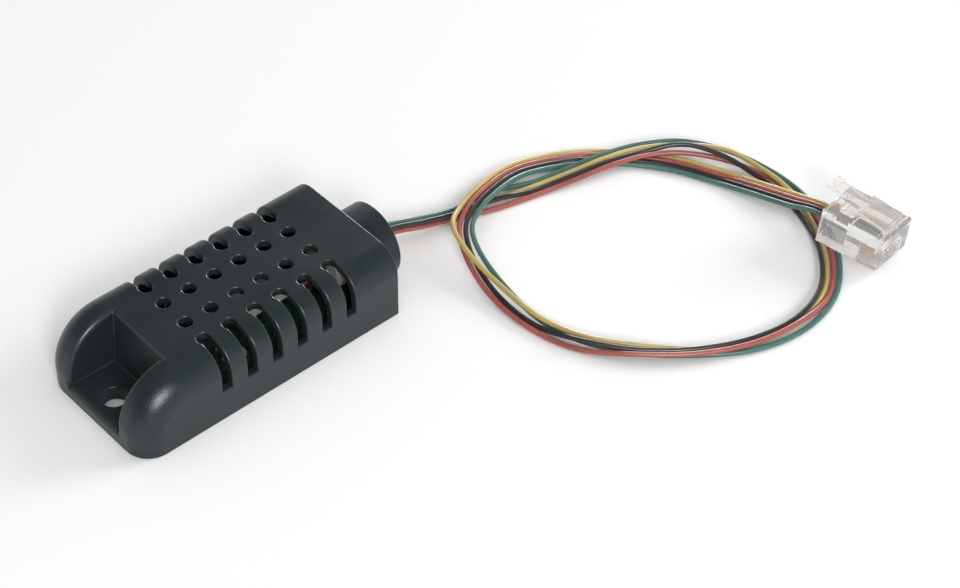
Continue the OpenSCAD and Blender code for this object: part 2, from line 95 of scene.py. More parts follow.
# Free space of the screw recess, from the record, and how near a point counts as on one of its faces
RECESS_LOW, RECESS_HIGH = next(
    o["box_m"] for o in frame["record"]["physics"]["openings"] if o["name"] == "screw_recess")
NEAR = 0.15 * MM
# Thickness of the leaning wall behind the recess at its top, and the place of that top
RECESS_WALL = 1.6 * MM
RECESS_TOP = SEAM_X - RECESS_WALL
# Least length of an inner corner of the recess, and how much paler it is painted than the other edges: a
# painted highlight along the corners
CORNER_LENGTH = 5 * MM
CORNER_SHEEN = 2.0
# Most width of a vent's edge along the case, and the height that vents lie above
VENT_WIDTH = 2.5 * MM
VENT_LOW = 5.5 * MM

# Range of the noise that clouds the tone and the gloss, and the pale grey that rims are rubbed to, which
# also serves as a painted sheen on them
CLOUD = (0.3, 0.7)
WORN_AND_SHEEN_GREY = (0.6, 0.6, 0.6, 1)
# Share of the softer unevenness in the grain, depth of the grain in its sizes, and share of it on rims
UNEVEN = 0.2
GRAIN_DEPTH = 1 / 3
RIM_GRAIN = 1 / 4
# Haze in the clear plastic: the range of its noise, the roughness over that range, and what rims add
HAZE_NOISE = (0.35, 0.75)
HAZE = (0.02, 0.1)
RIM_HAZE = 0.25
# Steps of the copper traces and of the comb lines, and where in a band a comb line starts
TRACE_STEP = 2.4 * MM
COMB_STEP = 0.5 * MM
COMB_EDGE = (0.72, 0.78)
# Scale at which the wave texture has one band in each step
ONE_BAND = math.tau / 20
# Distance of the chip's dot from two sides of the chip, and the radii between which the dot fades
DOT_INSET = 0.9 * MM
DOT_EDGE = (0.36 * MM, 0.32 * MM)
# Length of a small part's tinned caps
CAP = 0.4 * MM
# How much narrower the bead gets towards its leads
BEAD_TAPER = 0.3
# Outline of a solder joint, as shares of its radius and its height
SOLDER_PROFILE = [(0.0, 0.0), (1.0, 0.0), (0.78, 0.06), (0.62, 0.2), (0.53, 0.45), (0.48, 0.75),
                  (0.36, 0.93), (0.0, 1.0)]

# Route of the bundle from the boss round the loop to the plug, in millimetres, with the height of its
# lower layer
BUNDLE_ROUTE = [
    (33, 0, 3.8), (39, -1, 2.3), (46, -2, 0.8), (53.5, -3.6, 0.65), (61.5, -5.6, 0.65), (69, -7.8, 1.4),
    (75.5, -9.5, 1.9), (82, -11.7, 1.9), (88, -15.8, 1.9), (92.3, -22, 1.3), (94.6, -29, 0.65),
    (94.6, -36.5, 0.65), (92, -45, 0.65), (87, -52.6, 0.65), (80, -58, 0.65), (71.5, -59.7, 0.65),
    (62.5, -57.7, 0.65), (54, -52.9, 0.65), (46.5, -46.6, 0.65), (41, -38.8, 0.65), (38.6, -30.5, 0.65),
    (38.4, -22, 1.2), (39.6, -14, 2.6), (42.6, -7.6, 3.4), (47.6, -4.2, 3.5), (54, -2, 2.9),
    (61, -0.8, 1.8), (68, -2, 0.7), (74.5, -5.8, 0.65), (80.3, -11.4, 0.65), (84.9, -17.8, 0.65),
    (88.2, -25, 0.65), (90.4, -32.5, 1.5), (91.7, -39.5, 2.8),
]
# Each wire: its solder joint, its place in the plug's row, and its lanes and layers as pairs of route
# point and value
WIRE_PLANS = {
    "green": {
        "pad": 3, "row": 0,
        "lanes": [(2, 0.5), (3, 1.5), (16, 1.5), (21, -1.5)],
        "layers": [(3, 1), (4, 0)],
    },
    "yellow": {
        "pad": 2, "row": 3,
        "lanes": [(9, 0.5), (11, -0.5), (21, -0.5), (23, 1.5)],
        "layers": [(8, 0), (9, 1), (11, 1), (12, 0), (17, 0), (18, 1), (23, 1), (24, 0)],
    },
    "black": {
        "pad": 0, "row": 1,
        "lanes": [(8, -0.5), (10, -1.5), (13, -1.5), (17, 0.5), (21, 0.5), (23, -0.5)],
        "layers": [(3, 1), (4, 0), (7, 0), (8, 1), (9, 1), (11, 0), (12, 0), (13, 1), (19, 1), (20, 0)],
    },
    "red": {
        "pad": 1, "row": 2,
        "lanes": [(2, -0.5), (3, -1.5), (8, -1.5), (11, 0.5), (15, 0.5), (17, 1.5), (21, 1.5), (23, 0.5)],
        "layers": [(14, 0), (15, 1), (18, 1), (19, 0)],
    },
}
# Feet of the wires beside their solder joints, in millimetres
FOOT_X = 12.56
FOOT_Z = 4.4
PAD_PITCH = 1.8
# Wires in the seal, in millimetres, with the point in front of it and that point's share of the way back
# to the foot
SEAL_PITCH = 1.5
SEAL_LOW_Z = 3.75
SEAL_X = (17.7, 23.3, 29.4)
SEAL_LEAD = 2.4
LEAD_SHARE = 0.2
# Place of the plug in millimetres and its turn in degrees, and the wires' row in its own frame
PLUG_AT = (92.4, -47.5, 1.25)
PLUG_TURN = (-8, 1.5, -80)
PLUG_LEAD = 3
PLUG_ROW_END = 10.6
PLUG_ROW_Z = 2.9
CONTACT_PITCH = 1.02
# The solid wires have eight sides, and the round ones stay inside their flats
SOLID_SIDES = 8
CORD_FLATS = math.cos(math.pi / SOLID_SIDES)
# Half of the row's spread, counted in places
ROW_MIDDLE = (len(WIRE_PLANS) - 1) / 2


class CaseLooks(bpy.types.PropertyGroup):
    """Sizes and colours of the case."""
    edge: FloatProperty(name="Edge", description="Rounding of the case's edges", default=0.22 * MM,
                        unit="LENGTH", precision=5)
    vent: FloatProperty(name="Vents", description="Rounding of the edges of the slots and holes",
                        default=0.3 * MM, unit="LENGTH", precision=5)
    rim: FloatProperty(name="Recess rim", description="Rounding of the upper edges of the recess",
                       default=0.85 * MM, unit="LENGTH", precision=5)
    corner: FloatProperty(name="Recess corners", description="Rounding of the inner corners of the recess",
                          default=0.18 * MM, unit="LENGTH", precision=5)
    cover_edge: FloatProperty(name="Cover edge", description="Rounding of the base cover's edges",
                              default=0.1 * MM, unit="LENGTH", precision=5)
    grain: FloatProperty(name="Grain", description="Size of the moulded grain", default=0.2 * MM,
                         unit="LENGTH", precision=5)
    colour: FloatVectorProperty(name="Case", description="Colour of the case", subtype="COLOR",
                                default=(0.019, 0.0266, 0.0292))


class InnerLooks(bpy.types.PropertyGroup):
    """Sizes and colours of what the case holds."""
    edge: FloatProperty(name="Edge", description="Rounding of the inner pieces' edges",
                        default=0.05 * MM, unit="LENGTH", precision=5)
    mask: FloatVectorProperty(name="Solder mask", description="Colour of the board", subtype="COLOR",
                              default=(0.006, 0.026, 0.016))
    trace: FloatVectorProperty(name="Traces", description="Colour of the mask over copper", subtype="COLOR",
                               default=(0.012, 0.055, 0.03))
    ivory: FloatVectorProperty(name="Ivory", description="Colour of the humidity element's frame",
                               subtype="COLOR", default=(0.74, 0.69, 0.57))
    film: FloatVectorProperty(name="Film", description="Colour of the sensing film", subtype="COLOR",
                              default=(0.55, 0.47, 0.32))
    resin: FloatVectorProperty(name="Resin", description="Colour of the seal round the wires",
                               subtype="COLOR", default=(0.8, 0.75, 0.65))
    tin: FloatVectorProperty(name="Tin", description="Colour of legs, pins and solder", subtype="COLOR",
                             default=(0.62, 0.63, 0.65))
    bead: FloatVectorProperty(name="Bead", description="Colour of the thermistor's bead", subtype="COLOR",
                              default=(0.025, 0.02, 0.018))
    chip: FloatVectorProperty(name="Chip", description="Colour of the microcontroller", subtype="COLOR",
                              default=(0.018, 0.018, 0.02))
    dot: FloatVectorProperty(name="Dot", description="Colour of the dot beside its first pin",
                             subtype="COLOR", default=(0.12, 0.12, 0.125))
    ceramic: FloatVectorProperty(name="Ceramic", description="Colour of the capacitors", subtype="COLOR",
                                 default=(0.36, 0.25, 0.15))
    glaze: FloatVectorProperty(name="Glaze", description="Colour of the resistors", subtype="COLOR",
                               default=(0.015, 0.015, 0.017))


class WireLooks(bpy.types.PropertyGroup):
    """Sizes and colours of the wires."""
    diameter: FloatProperty(name="Diameter", description="Outside of a wire", default=1.0 * MM,
                            unit="LENGTH", precision=5)
    pitch: FloatProperty(name="Pitch", description="Middle to middle of wires side by side",
                         default=1.1 * MM, unit="LENGTH", precision=5)
    core: FloatProperty(name="Core", description="Diameter of the copper core", default=0.5 * MM,
                        unit="LENGTH", precision=5)
    smooth: IntProperty(name="Smoothness", description="Points for each stretch of the route", default=6)
    green: FloatVectorProperty(name="Green", description="Green wire", subtype="COLOR",
                               default=(0.058, 0.152, 0.128))
    yellow: FloatVectorProperty(name="Yellow", description="Yellow wire", subtype="COLOR",
                                default=(0.5, 0.38, 0.12))
    black: FloatVectorProperty(name="Black", description="Black wire", subtype="COLOR",
                               default=(0.032, 0.03, 0.029))
    red: FloatVectorProperty(name="Red", description="Red wire", subtype="COLOR",
                             default=(0.37, 0.088, 0.072))
    copper: FloatVectorProperty(name="Copper", description="Copper core", subtype="COLOR",
                                default=(0.72, 0.3, 0.14))


class PlugLooks(bpy.types.PropertyGroup):
    """Sizes and colours of the plug."""
    edge: FloatProperty(name="Edge", description="Rounding of the plug's edges", default=0.16 * MM,
                        unit="LENGTH", precision=5)
    wave: FloatProperty(name="Wave", description="Size of the waves in the clear plastic", default=1.6 * MM,
                        unit="LENGTH", precision=5)
    clear: FloatVectorProperty(name="Clear plastic", description="Tint of the clear plastic",
                               subtype="COLOR", default=(0.955, 0.935, 0.92))
    shade: FloatVectorProperty(name="Shade", description="Light that the clear plastic lets to the floor",
                               subtype="COLOR", default=(0.2, 0.2, 0.2))
    gold: FloatVectorProperty(name="Gold", description="Plating of the contacts", subtype="COLOR",
                              default=(0.72, 0.48, 0.18))


class StageLooks(bpy.types.PropertyGroup):
    """Camera, floor and lights."""
    azimuth: FloatProperty(name="Azimuth", description="Turn of the view", subtype="ANGLE",
                           default=math.radians(-42.371))
    elevation: FloatProperty(name="Elevation", description="View above the horizon", subtype="ANGLE",
                             default=math.radians(44.008))
    roll: FloatProperty(name="Roll", description="Tilt of the picture", subtype="ANGLE",
                        default=math.radians(0.767))
    distance: FloatProperty(name="Distance", description="Camera to the aim", unit="LENGTH", default=0.40909)
    aim: FloatVectorProperty(name="Aim", description="Point on the floor that the camera looks at",
                             subtype="XYZ", unit="LENGTH", default=(0.036654, -0.018783, 0.0))
    focal_px: FloatProperty(name="Focal length", description="Focal length in pixels of the image",
                            default=2416.27)
    floor: FloatVectorProperty(name="Floor", description="Colour of the floor", subtype="COLOR",
                               default=(0.83, 0.83, 0.83))
    floor_size: FloatProperty(name="Floor size", description="Side of the floor", unit="LENGTH", default=4.0)
    floor_gap: FloatProperty(name="Floor gap", description="Floor below the object", default=0.03 * MM,
                             unit="LENGTH", precision=5)
    glow: FloatProperty(name="Glow", description="Light that the seen floor adds of its own", default=0.03)
    key: FloatProperty(name="Key", description="Watts of a light that gloss doesn't show", default=3.0)
    key_size: FloatProperty(name="Key size", description="Side of the key light", unit="LENGTH", default=0.2)
    key_at: FloatVectorProperty(name="Key place", description="Place of the key light", subtype="XYZ",
                                unit="LENGTH", default=(-0.3, -0.64, 0.45))
    side: FloatProperty(name="Side", description="Watts of a light that gloss doesn't show", default=4.6)
    side_size: FloatProperty(name="Side size", description="Side of the side light", unit="LENGTH",
                             default=0.35)
    side_at: FloatVectorProperty(name="Side place", description="Place of the side light", subtype="XYZ",
                                 unit="LENGTH", default=(0.75, -0.3, 0.32))
    rear: FloatProperty(name="Rear", description="Watts of a light that only gloss shows", default=1.4)
    rear_size: FloatProperty(name="Rear size", description="Side of the rear light", unit="LENGTH",
                             default=0.06)
    rear_at: FloatVectorProperty(name="Rear place", description="Place of the rear light", subtype="XYZ",
                                 unit="LENGTH", default=(0.41, 0.297, 0.143))
    sky: FloatProperty(name="Sky", description="Strength of the light from above", default=1.0)
    horizon: FloatProperty(name="Horizon", description="Strength of the light from level all round",
                           default=0.1)
    glint: FloatProperty(name="Glint", description="Watts of a light that only gloss shows", default=8.5)
    glint_size: FloatProperty(name="Glint size", description="Side of the glint", unit="LENGTH", default=0.3)
    glint_at: FloatVectorProperty(name="Glint place", description="Place of the glint", subtype="XYZ",
                                  unit="LENGTH", default=(-0.33, -0.62, 0.42))
    front: FloatProperty(name="Front", description="Share of white that a gloss meets on the front's side",
                         default=0.1)
    through: FloatProperty(name="Through", description="Least share of white seen through a clear body",
                           default=0.85)
    overhead: FloatProperty(name="Overhead", description="Share of white that a gloss meets overhead",
                            default=0.03)


def add(tree, kind, inputs=None, **settings):
    """New shader node with its settings, and inputs given as values or as sockets to link."""
    made = tree.nodes.new("ShaderNode" + kind)
    for name, value in settings.items():
        setattr(made, name, value)
    for name, value in (inputs or {}).items():
        if isinstance(value, bpy.types.NodeSocket):
            tree.links.new(value, made.inputs[name])
        else:
            made.inputs[name].default_value = value
    return made


def rgba(colour):
    """Colour with full alpha."""
    return (*colour, 1.0)


def mix(tree, share, a, b):
    """Colour between a and b, each a colour or a socket."""
    return add(tree, "Mix", {0: share, 6: a, 7: b}, data_type="RGBA").outputs[2]


def ramp(tree, value, low, high, start, end):
    """Value carried from the range low to high over to the range start to end."""
    return add(tree, "MapRange", {0: value, 1: low, 2: high, 3: start, 4: end}).outputs[0]


def stepped_place(tree, step):
    """Object coordinates counted in steps of a size, which is a number or a socket."""
    place = add(tree, "TexCoord").outputs["Object"]
    if isinstance(step, bpy.types.NodeSocket):
        per_step = add(tree, "Math", {0: 1.0, 1: step}, operation="DIVIDE").outputs[0]
    else:
        per_step = 1 / step
    return add(tree, "VectorMath", {0: place, "Scale": per_step}, operation="SCALE").outputs[0]


def new_group(name, inputs, outputs):
    """Empty shader group with named sockets, the inputs each a name, a type and a default."""
    tree = bpy.data.node_groups.new(name, "ShaderNodeTree")
    for socket, kind, default in inputs:
        made = tree.interface.new_socket(socket, in_out="INPUT", socket_type="NodeSocket" + kind)
        made.default_value = default
    for socket, kind in outputs:
        tree.interface.new_socket(socket, in_out="OUTPUT", socket_type="NodeSocket" + kind)
    return tree, tree.nodes.new("NodeGroupInput").outputs, tree.nodes.new("NodeGroupOutput").inputs


def grain_group():
    """Fine moulded grain: small rounded bumps over a softer unevenness."""
    tree, given, made = new_group("Moulded grain", [("Size", "Float", 0.3 * MM)], [("Height", "Float")])
    place = stepped_place(tree, given["Size"])
    cells = add(tree, "TexVoronoi", {"Vector": place, "Scale": 1.0, "Smoothness": 0.6}, feature="SMOOTH_F1")
    uneven = add(tree, "TexNoise", {"Vector": place, "Scale": 0.35, "Detail": 3.0}).outputs[0]
    total = add(tree, "Math", {0: uneven, 1: UNEVEN, 2: cells.outputs["Distance"]}, operation="MULTIPLY_ADD")
    tree.links.new(total.outputs[0], made["Height"])
    return tree


def tone_group():
    """Colour that drifts a little lighter and darker in clouds, and is paler on rounded rims, partly wear
    and partly a painted sheen.
    """
    tree, given, made = new_group(
        "Tone with wear and sheen",
        [("Colour", "Color", (0.5, 0.5, 0.5, 1)), ("Size", "Float", 6 * MM), ("Drift", "Float", 0.2),
         ("Rim", "Float", 0.1)],
        [("Colour", "Color"), ("Mask", "Float")])
    place = stepped_place(tree, given["Size"])
    clouds = {"Vector": place, "Scale": 1.0, "Detail": 5.0, "Roughness": 0.6}
    cloud = add(tree, "TexNoise", clouds).outputs[0]
    shift = ramp(tree, cloud, *CLOUD, -1.0, 1.0)
    gain = add(tree, "Math", {0: shift, 1: given["Drift"], 2: 1.0}, operation="MULTIPLY_ADD").outputs[0]
    tinted = add(tree, "VectorMath", {0: given["Colour"], "Scale": gain}, operation="SCALE").outputs[0]
    rim = add(tree, "Attribute", attribute_name="rim").outputs["Fac"]
    worn_and_sheen = add(tree, "Math", {0: rim, 1: given["Rim"]}, operation="MULTIPLY").outputs[0]
    patchy = add(tree, "Math", {0: worn_and_sheen, 1: cloud}, operation="MULTIPLY").outputs[0]
    # Rims are mixed towards pale grey: partly wear, partly a painted sheen along the edges
    tree.links.new(mix(tree, patchy, tinted, WORN_AND_SHEEN_GREY), made["Colour"])
    tree.links.new(cloud, made["Mask"])
    return tree


GROUP_MAKERS = {"Moulded grain": grain_group, "Tone with wear and sheen": tone_group}


def grouped(tree, name, **values):
    """A shared group placed in a material with its own values."""
    made = tree.nodes.new("ShaderNodeGroup")
    made.node_tree = bpy.data.node_groups.get(name) or GROUP_MAKERS[name]()
    for socket, value in values.items():
        made.inputs[socket].default_value = value
    return made.outputs


def new_material(name):
    """Empty node material, its tree and its principled shader's inputs."""
    found = bpy.data.materials.new(name)
    found.use_nodes = True
    tree = found.node_tree
    return found, tree, tree.nodes["Principled BSDF"].inputs


def moulded(name, colour, grain, bump=0.3, rough=(0.4, 0.55), size=6 * MM, drift=0.15, rim=0.05):
    """Moulded plastic or resin: drifting tone, uneven gloss and a fine grain that fades on rims."""
    found, tree, shader = new_material(name)
    tone = grouped(tree, "Tone with wear and sheen", Colour=rgba(colour), Size=size, Drift=drift, Rim=rim)
    height = grouped(tree, "Moulded grain", Size=grain)["Height"]
    rounding = add(tree, "Attribute", attribute_name="rim").outputs["Fac"]
    smoothed = ramp(tree, rounding, 0.0, 1.0, bump, bump * RIM_GRAIN)
    bumped = add(tree, "Bump", {"Strength": smoothed, "Distance": grain * GRAIN_DEPTH, "Height": height})
    tree.links.new(tone["Colour"], shader["Base Color"])
    tree.links.new(ramp(tree, tone["Mask"], *CLOUD, *rough), shader["Roughness"])
    tree.links.new(bumped.outputs[0], shader["Normal"])
    return found


def painted(found, mask, colour):
    """A material with a second colour over its own where a mask socket is one."""
    tree = found.node_tree
    base = tree.nodes["Principled BSDF"].inputs["Base Color"]
    tree.links.new(mix(tree, mask, base.links[0].from_socket, rgba(colour)), base)
    return found


def plated(name, colour):
    """Plated or tinned metal with a drifting gloss."""
    found = moulded(name, colour, grain=0.12 * MM, bump=0.06, rough=(0.16, 0.34), size=1.5 * MM,
                    drift=0.12, rim=0.0)
    found.node_tree.nodes["Principled BSDF"].inputs["Metallic"].default_value = 1.0
    return found


def case_plastic(looks):
    """Dark moulded plastic with a fine grain that breaks up its gloss."""
    found = moulded("case_plastic", looks.colour, looks.grain, bump=0.34, rough=(0.29, 0.37), size=14 * MM,
                    drift=0.1, rim=0.03)
    found.node_tree.nodes["Principled BSDF"].inputs["Specular IOR Level"].default_value = 0.33
    return found


def board_laminate(looks):
    """Dark solder mask, paler where it lies over copper traces."""
    found = moulded("board_laminate", looks.mask, grain=0.3 * MM, bump=0.15, rough=(0.25, 0.4))
    tree = found.node_tree
    place = stepped_place(tree, TRACE_STEP)
    lines = add(tree, "TexBrick", {"Vector": place, "Scale": 1.0, "Mortar Size": 0.06, "Mortar Smooth": 0.2,
                                   "Brick Width": 1.7, "Row Height": 0.5})
    return painted(found, lines.outputs["Fac"], looks.trace)


def sensing_film(looks):
    """Coated plate with fine comb lines."""
    found = moulded("sensing_film", looks.film, grain=0.15 * MM)
    tree = found.node_tree
    place = stepped_place(tree, COMB_STEP)
    bands = add(tree, "TexWave", {"Vector": place, "Scale": ONE_BAND}).outputs["Fac"]
    return painted(found, ramp(tree, bands, *COMB_EDGE, 0.0, 1.0), looks.tin)


def chip_resin(looks, dot):
    """Black moulding with a grey dot beside the first pin."""
    found = moulded("chip_resin", looks.chip, grain=0.1 * MM, rough=(0.5, 0.62))
    tree = found.node_tree
    place = add(tree, "TexCoord").outputs["Object"]
    reach = add(tree, "VectorMath", {0: place, 1: dot}, operation="DISTANCE").outputs["Value"]
    return painted(found, ramp(tree, reach, *DOT_EDGE, 0.0, 1.0), looks.dot)


def clear_plastic(looks):
    """Clear moulded plastic with faint waves, a drifting haze, duller rims whose colour is whitened as a
    painted highlight, and a thin shadow.
    """
    found, tree, shader = new_material("clear_plastic")
    place = stepped_place(tree, looks.wave)
    wave = add(tree, "TexNoise", {"Vector": place, "Scale": 1.0, "Detail": 2.0}).outputs[0]
    bumped = add(tree, "Bump", {"Strength": 0.2, "Distance": 0.1 * MM, "Height": wave})
    rim = add(tree, "Attribute", attribute_name="rim").outputs["Fac"]
    haze = ramp(tree, wave, *HAZE_NOISE, *HAZE)
    dull = add(tree, "Math", {0: rim, 1: RIM_HAZE, 2: haze}, operation="MULTIPLY_ADD").outputs[0]
    tree.links.new(dull, shader["Roughness"])
    tree.links.new(bumped.outputs[0], shader["Normal"])
    # Rims are painted white over the tint, a painted highlight along the plug's edges
    tree.links.new(mix(tree, rim, rgba(looks.clear), (1, 1, 1, 1)), shader["Base Color"])
    shader["Transmission Weight"].default_value = 0.9
    shader["IOR"].default_value = 1.5
    shadow = add(tree, "LightPath").outputs["Is Shadow Ray"]
    through = add(tree, "BsdfTransparent", {"Color": rgba(looks.shade)})
    plain = tree.nodes["Principled BSDF"].outputs[0]
    both = add(tree, "MixShader", {0: shadow, 1: plain, 2: through.outputs[0]})
    tree.links.new(both.outputs[0], tree.nodes["Material Output"].inputs["Surface"])
    return found


def tinned_metal(looks):
    """Tinned legs, pins and solder."""
    return plated("tinned_metal", looks.tin)


MADE = {}


def shared(make, *given):
    """A material that several pieces share, made at its first use."""
    if make not in MADE:
        MADE[make] = make(*given)
    return MADE[make]


def finish_piece(piece, materials, body, node):
    """Gives a piece its materials and its body, and hides the CAD node that it stands for."""
    for found in materials:
        piece.data.materials.append(found)
    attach(piece, body)
    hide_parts(node)


def piece_from(bm, name):
    """Object at the origin from a finished bmesh, shaded smooth with level faces kept level."""
    for face in bm.faces:
        face.smooth = True
    mesh = bpy.data.meshes.new(name)
    bm.to_mesh(mesh)
    bm.free()
    piece = bpy.data.objects.new(name, mesh)
    bpy.context.scene.collection.objects.link(piece)
    level = piece.modifiers.new("Level faces", "WEIGHTED_NORMAL")
    level.keep_sharp = True
    return piece


def merged(node):
    """Merged copy of a CAD node as a bmesh, with its level faces joined."""
    bm = bmesh.new()
    bm.from_mesh(frame["nodes"][node].data)
    bmesh.ops.remove_doubles(bm, verts=bm.verts, dist=CAD_MERGE)
    bmesh.ops.dissolve_limit(bm, angle_limit=LEVEL_TURN, verts=bm.verts, edges=bm.edges)
    bm.faces.layers.float.new("rim")
    return bm


def chains(edges):
    """Groups of edges that touch one another, always in the order of the given edges."""
    left = dict.fromkeys(edges)
    while left:
        chain = [next(iter(left))]
        del left[chain[0]]
        for tip in chain:
            for edge in (e for v in tip.verts for e in v.link_edges):
                if edge in left:
                    del left[edge]
                    chain.append(edge)
        yield chain


def round_edges(bm, edges, width, segments, clamp=True, wear_and_sheen=1.0):
    """Rounds edges chain by chain, so a tight spot narrows only its own, and marks the new faces with how
    much paler they are painted, for wear and a painted sheen.
    """
    rim = bm.faces.layers.float["rim"]
    for chain in chains(edges):
        made = bmesh.ops.bevel(bm, geom=chain, offset=width, offset_type="OFFSET", segments=segments,
                               profile=0.5, affect="EDGES", material=-1, clamp_overlap=clamp)
        for face in made["faces"]:
            face[rim] = wear_and_sheen


def outer_edges(bm):
    """Edges of a bmesh that turn outwards enough to be rounded."""
    return [e for e in bm.edges if e.calc_face_angle_signed(0.0) > EDGE_TURN]


def settle(bm, node):
    """Keeps a bmesh inside its CAD node's box, and its remaining corners crisp."""
    low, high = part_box(node)
    for vert in bm.verts:
        vert.co = [min(max(c, a), b) for c, a, b in zip(vert.co, low, high)]
    rim = bm.faces.layers.float["rim"]
    for edge in bm.edges:
        round_part = all(face[rim] for face in edge.link_faces)
        edge.smooth = edge.calc_face_angle(0.0) < (ROUND_CRISP if round_part else FLAT_CRISP)
    return bm


def rounded(node, width):
    """Merged copy of a CAD node as a bmesh with its outer edges rounded."""
    bm = merged(node)
    round_edges(bm, outer_edges(bm), width, EDGE_STEPS)
    return settle(bm, node)


def dress(node, name, width, material, body=SENSOR):
    """Piece in one material that stands for a CAD node, with its outer edges rounded."""
    finish_piece(piece_from(rounded(node, width), name), [material], body, node)


def lookup(pairs, i):
    """Value at route point i, straight between the pairs and level past their ends."""
    return float(np.interp(i, [p[0] for p in pairs], [p[1] for p in pairs]))


def plug_frame():
    """Matrix from the plug's own frame, in millimetres, to the object's."""
    turn = Euler([math.radians(a) for a in PLUG_TURN]).to_matrix().to_4x4()
    return Matrix.Translation(PLUG_AT) @ turn


def wire_route(plan, pitch):
    """Points of one wire in millimetres, from its joint through the seal and the loop into the plug."""
    y = lookup(plan["lanes"], 0) * SEAL_PITCH
    z = SEAL_LOW_Z + lookup(plan["layers"], 0) * SEAL_PITCH
    foot = Vector((FOOT_X, (plan["pad"] - ROW_MIDDLE) * PAD_PITCH, FOOT_Z))
    lead = Vector((SEAL_X[0] - SEAL_LEAD, y + LEAD_SHARE * (foot.y - y), z + LEAD_SHARE * (foot.z - z)))
    points = [foot, lead] + [Vector((x, y, z)) for x in SEAL_X]
    route = [Vector(p) for p in BUNDLE_ROUTE]
    for i, point in enumerate(route):
        along = route[min(i + 1, len(route) - 1)] - route[max(i - 1, 0)]
        left = Vector((-along.y, along.x, 0)).normalized()
        up = Vector((0, 0, lookup(plan["layers"], i)))
        points.append(point + (left * lookup(plan["lanes"], i) + up) * pitch)
    into = plug_frame()
    row = (plan["row"] - ROW_MIDDLE) * CONTACT_PITCH
    return points + [into @ Vector((x, row, PLUG_ROW_Z)) for x in (-PLUG_LEAD, PLUG_LEAD, PLUG_ROW_END)]


def smooth_path(points, steps):
    """Points along the smooth curve that passes through the route's points."""
    last = len(points) - 1
    # A sixth of the way between a point's neighbours makes the stretches meet smoothly
    slopes = [(points[min(i + 1, last)] - points[max(i - 1, 0)]) / 6 for i in range(last + 1)]
    path = []
    for i in range(last):
        handles = (points[i], points[i] + slopes[i], points[i + 1] - slopes[i + 1], points[i + 1])
        path += interpolate_bezier(*handles, steps + 1)[:steps]
    return path + [points[last]]


def closed(bm):
    """Merges the seams and poles of a new shape and turns its faces outwards."""
    bmesh.ops.remove_doubles(bm, verts=bm.verts, dist=MERGE)
    bmesh.ops.recalc_face_normals(bm, faces=bm.faces)
    return bm


def tube(name, path, radius):
    """Round tube along a path as a bmesh, made from a curve."""
    curve = bpy.data.curves.new(name, "CURVE")
    curve.dimensions = "3D"
    curve.bevel_depth = radius
    curve.bevel_resolution = 4
    curve.use_fill_caps = True
    line = curve.splines.new("POLY")
    line.points.add(len(path) - 1)
    for point, place in zip(line.points, path):
        point.co = (*place, 1)
    holder = bpy.data.objects.new(name, curve)
    mesh = bpy.data.meshes.new_from_object(holder)
    bpy.data.objects.remove(holder)
    bpy.data.curves.remove(curve)
    bm = bmesh.new()
    bm.from_mesh(mesh)
    bpy.data.meshes.remove(mesh)
    return closed(bm)


def spun(bm, profile, centre):
    """Adds a round body to a bmesh: a profile of radius and height turned about an upright line."""
    verts = [bm.verts.new((centre[0] + r, centre[1], centre[2] + z)) for r, z in profile]
    edges = [bm.edges.new(pair) for pair in zip(verts, verts[1:])]
    bmesh.ops.spin(bm, geom=verts + edges, cent=centre, axis=(0, 0, 1), angle=math.tau, steps=SPIN_STEPS,
                   use_merge=True)


class SENSOR_OT_camera(bpy.types.Operator):
    """Set the camera at the picture's angle"""
    bl_idname = "sensor.camera"
    bl_label = "Camera"

    def execute(self, context):
        looks = context.scene.sensor_stage
        data = bpy.data.cameras.new("view")
        data.sensor_fit = "HORIZONTAL"
        data.lens = looks.focal_px / IMAGE_WIDTH * data.sensor_width
        data.clip_start = 0.01
        camera = bpy.data.objects.new("view", data)
        turn = Euler((math.pi / 2 - looks.elevation, 0, looks.azimuth)).to_matrix()
        turn = turn @ Matrix.Rotation(looks.roll, 3, "Z")
        back = turn.col[2]
        camera.matrix_world = Matrix.Translation(Vector(looks.aim) + back * looks.distance) @ turn.to_4x4()
        context.scene.collection.objects.link(camera)
        context.scene.camera = camera
        return {"FINISHED"}


class SENSOR_OT_plug(bpy.types.Operator):
    """Make the clear plug and its gold contacts"""
    bl_idname = "sensor.plug"
    bl_label = "Plug"

    def execute(self, context):
        looks = context.scene.sensor_plug
        clear = shared(clear_plastic, looks)
        dress("plug_housing", "plug_body", looks.edge, clear)
        gold = plated("contact_gold", looks.gold)
        dress("plug_contacts", "plug_blades", looks.edge / 2, gold)
        return {"FINISHED"}


class SENSOR_OT_latch(bpy.types.Operator):
    """Make the plug's sprung latch"""
    bl_idname = "sensor.latch"
    bl_label = "Latch"

    def execute(self, context):
        looks = context.scene.sensor_plug
        clear = shared(clear_plastic, looks)
        dress("plug_latch", "plug_tongue", looks.edge, clear, LATCH)
        return {"FINISHED"}


class SENSOR_OT_wires(bpy.types.Operator):
    """Lay the four loose wires from the board to the plug"""
    bl_idname = "sensor.wires"
    bl_label = "Wires"

    def execute(self, context):
        looks = context.scene.sensor_wires
        copper = plated("copper_core", looks.copper)
        for colour, plan in WIRE_PLANS.items():
            route = wire_route(plan, looks.pitch / MM)
            path = [p * MM for p in smooth_path(route, looks.smooth)]
            radius = looks.diameter / 2 * CORD_FLATS
            bm = tube("wire_" + colour, path, radius)
            # Only the two caps have more than four corners
            ends = [f for f in bm.faces if len(f.verts) > 4]
            bmesh.ops.inset_individual(bm, faces=ends, thickness=radius - looks.core / 2)
            for face in ends:
                face.material_index = 1
            wire = piece_from(bm, "wire_" + colour)
            skin = moulded(colour + "_insulation", getattr(looks, colour), grain=0.2 * MM, bump=0.08,
                           rough=(0.3, 0.44), size=9 * MM, drift=0.16)
            finish_piece(wire, [skin, copper], SENSOR, colour + "_wire")
            length = sum((b - a).length for a, b in zip(path, path[1:]))
        return {"FINISHED"}


